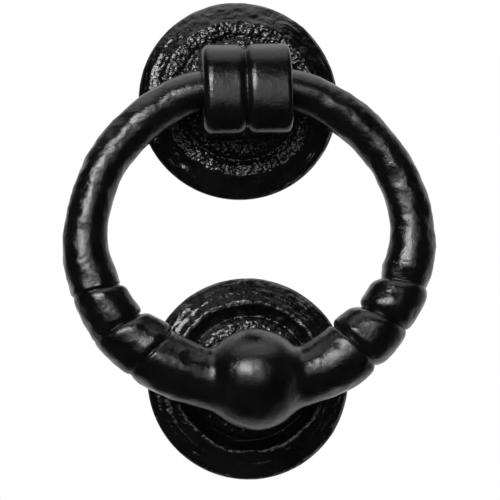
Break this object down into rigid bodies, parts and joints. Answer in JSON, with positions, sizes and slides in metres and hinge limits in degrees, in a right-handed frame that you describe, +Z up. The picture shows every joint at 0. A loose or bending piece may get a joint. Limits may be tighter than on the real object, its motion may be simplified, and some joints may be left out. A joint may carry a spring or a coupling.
{
  "type": "ring door knocker",
  "caption": "Ring door knocker: tapered beaded ring with a ball striker hung from a double-lobed knuckle on a round rose, with a round strike rose below, fixed through the door.",
  "frame": {"origin": "centre of the upper rose's back, on the door's outer face", "axes": "+Z up the door, +X to the right seen from outside, +Y into the door along the studs"},
  "size_m": [0.116, 0.0922, 0.152],
  "materials": {
    "black_iron": "semi-gloss black powder coat over a hand-finished casting",
    "zinc_steel": "bright zinc plate"
  },
  "bodies": {
    "door_fixings": {"upper_rose": "black_iron", "knuckle": "black_iron", "lower_rose": "black_iron", "knuckle_screw_upper": "zinc_steel", "knuckle_screw_lower": "zinc_steel", "upper_stud": "zinc_steel", "upper_washer": "zinc_steel", "upper_nut": "zinc_steel", "lower_stud": "zinc_steel", "lower_washer": "zinc_steel", "lower_nut": "zinc_steel"},
    "ring": {"ring": "black_iron"}
  },
  "joints": [
    {"name": "ring_swing", "type": "hinge", "parent": "door_fixings", "child": "ring", "pos_m": [0, -0.023, 0], "axis": [-1, 0, 0], "range_deg": [0, 184]}
  ]
}
